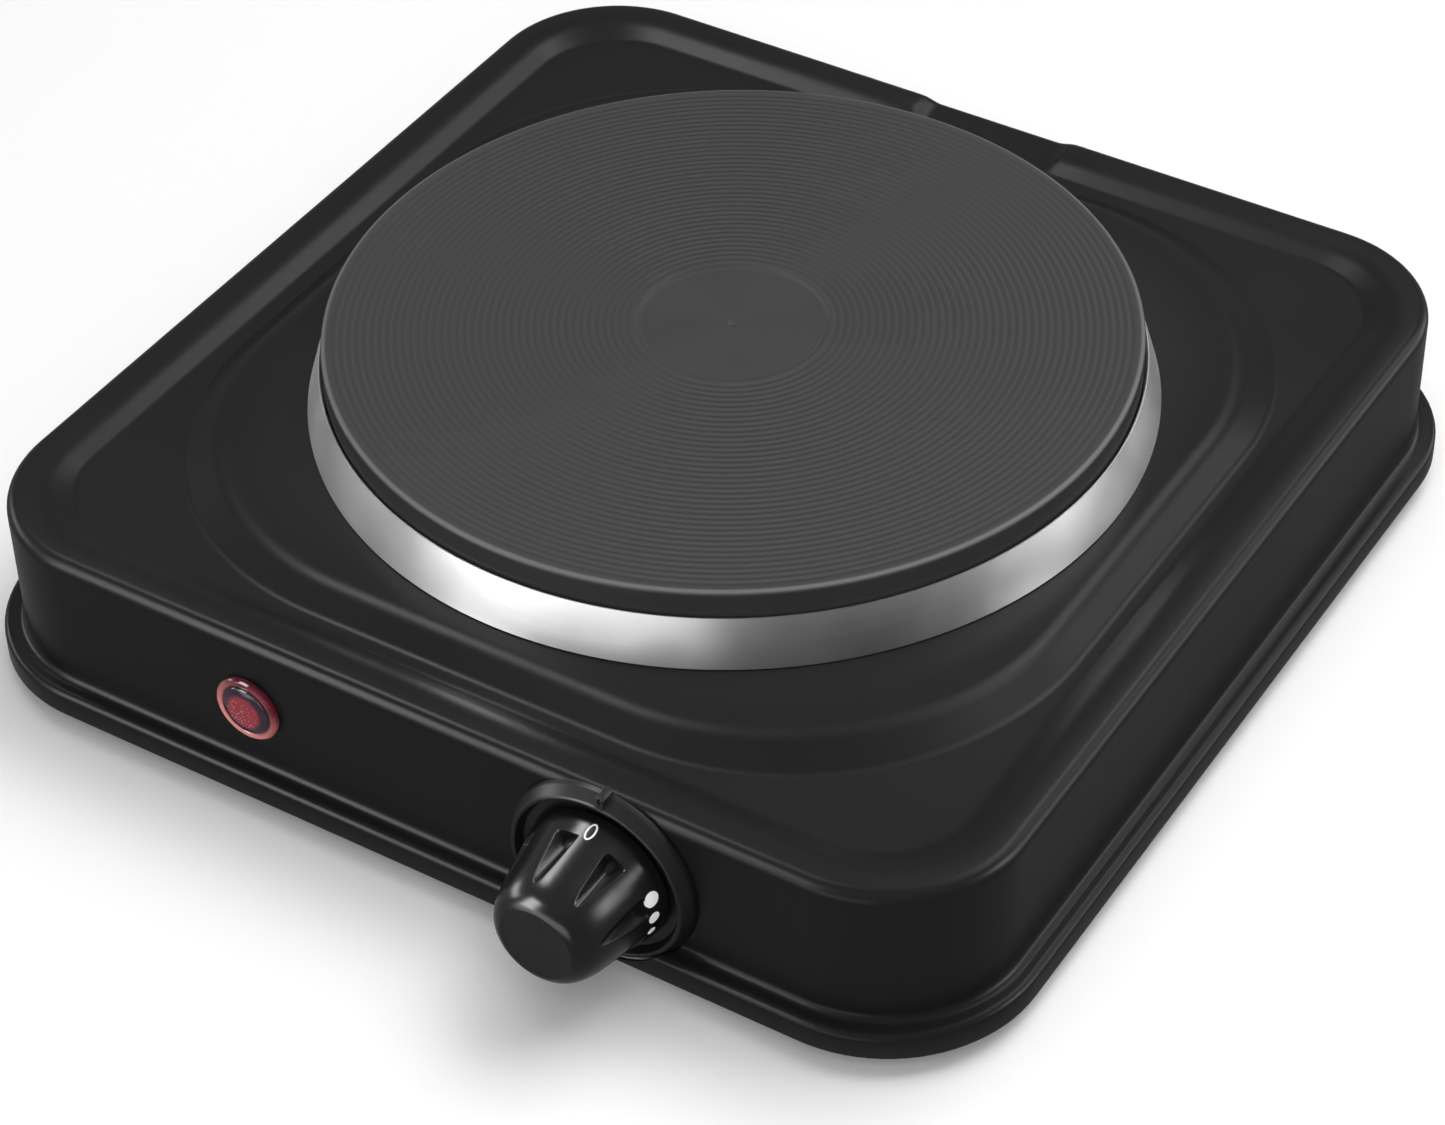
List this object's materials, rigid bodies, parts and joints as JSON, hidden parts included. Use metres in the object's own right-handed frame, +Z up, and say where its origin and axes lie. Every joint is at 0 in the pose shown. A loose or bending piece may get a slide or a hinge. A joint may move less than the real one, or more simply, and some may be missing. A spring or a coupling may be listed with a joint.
{
  "type": "electric hot plate",
  "caption": "Portable single-plate electric hot plate: square pressed-steel body, round cast plate in a polished spill ring, thermostat knob and red lamp on the front.",
  "frame": {"origin": "middle of the overall footprint, on the surface that the feet stand on", "axes": "+Z up, -Y the control side, +X to the right as seen from the control side"},
  "size_m": [0.264, 0.2858, 0.0673],
  "materials": {
    "enamel": "satin-gloss black stove enamel on pressed steel",
    "galvanised": "galvanised sheet, dull with faint spangle",
    "cast_iron": "dark grey heat-resistant coating, finely grooved in rings",
    "stainless": "polished stainless steel with fine turning lines",
    "heating_wire": "oxidised resistance wire",
    "cement": "matt magnesia cement",
    "ceramic": "unglazed steatite",
    "zinc_steel": "zinc-plated",
    "brass": "plain brass",
    "knob_plastic": "gloss black moulded phenolic",
    "lens_red": "clear red moulded lens, prismatic inside",
    "bulb_glass": "clear glass",
    "rubber": "matt black rubber",
    "lead_brown": "heat-resistant sleeve",
    "lead_black": "heat-resistant sleeve",
    "lead_blue": "heat-resistant sleeve",
    "lead_green_yellow": "heat-resistant sleeve"
  },
  "bodies": {
    "root": {"housing_shell": "enamel", "base_pan": "galvanised", "plate_under_cover": "galvanised", "clamp_bridge": "galvanised", "thermostat_bracket": "galvanised", "corner_bracket_front_left": "galvanised", "corner_bracket_front_right": "galvanised", "corner_bracket_rear_right": "galvanised", "corner_bracket_rear_left": "galvanised", "hotplate_casting": "cast_iron", "spill_ring": "stainless", "lamp_clip": "stainless", "bimetal_blade": "stainless", "heating_coil": "heating_wire", "insulating_ring": "cement", "plate_terminal_block": "ceramic", "thermostat_block": "ceramic", "blade_spacer": "ceramic", "lamp_cap": "ceramic", "mains_terminal_block": "ceramic", "centre_stud": "zinc_steel", "cover_nut": "zinc_steel", "stud_washer": "zinc_steel", "stud_nut": "zinc_steel", "thermostat_screw_left": "zinc_steel", "thermostat_screw_right": "zinc_steel", "terminal_block_screw": "zinc_steel", "foot_screw_front_left": "zinc_steel", "foot_screw_front_right": "zinc_steel", "foot_screw_rear_right": "zinc_steel", "foot_screw_rear_left": "zinc_steel", "terminal_pin_outer": "brass", "terminal_pin_inner": "brass", "thermostat_bush": "brass", "fixed_contact": "brass", "blade_rivet": "brass", "earth_screw": "brass", "knob_bezel": "knob_plastic", "lamp_lens": "lens_red", "lamp_bulb": "bulb_glass", "cord_gland": "rubber", "foot_front_left": "rubber", "foot_front_right": "rubber", "foot_rear_right": "rubber", "foot_rear_left": "rubber", "live_supply_lead": "lead_brown", "switched_live_lead": "lead_black", "lamp_live_lead": "lead_black", "neutral_lead": "lead_blue", "lamp_neutral_lead": "lead_blue", "earth_lead": "lead_green_yellow"},
    "control": {"knob": "knob_plastic", "knob_spring_clip": "stainless", "thermostat_spindle": "brass"},
    "adjuster": {"adjusting_pin": "ceramic"},
    "contact_arm": {"contact_blade": "brass"}
  },
  "joints": [
    {"name": "knob_turn", "type": "hinge", "parent": "root", "child": "control", "pos_m": [0.047, -0.1164, 0.0275], "axis": [0, 1, 0], "range_deg": [0, 285]},
    {"name": "adjuster_travel", "type": "slide", "parent": "root", "child": "adjuster", "axis": [0, -1, 0], "range_m": [0, 0.0008]},
    {"name": "contact_swing", "type": "hinge", "parent": "root", "child": "contact_arm", "pos_m": [0.0335, -0.09675, 0.0275], "axis": [0, 0, -1], "range_deg": [0, 3.4]}
  ],
  "couplings": [
    {"joint": "adjuster_travel", "follows": "knob_turn", "m_per_rad": 0.00016},
    {"joint": "contact_swing", "follows": "knob_turn", "ratio": 0.01185}
  ]
}
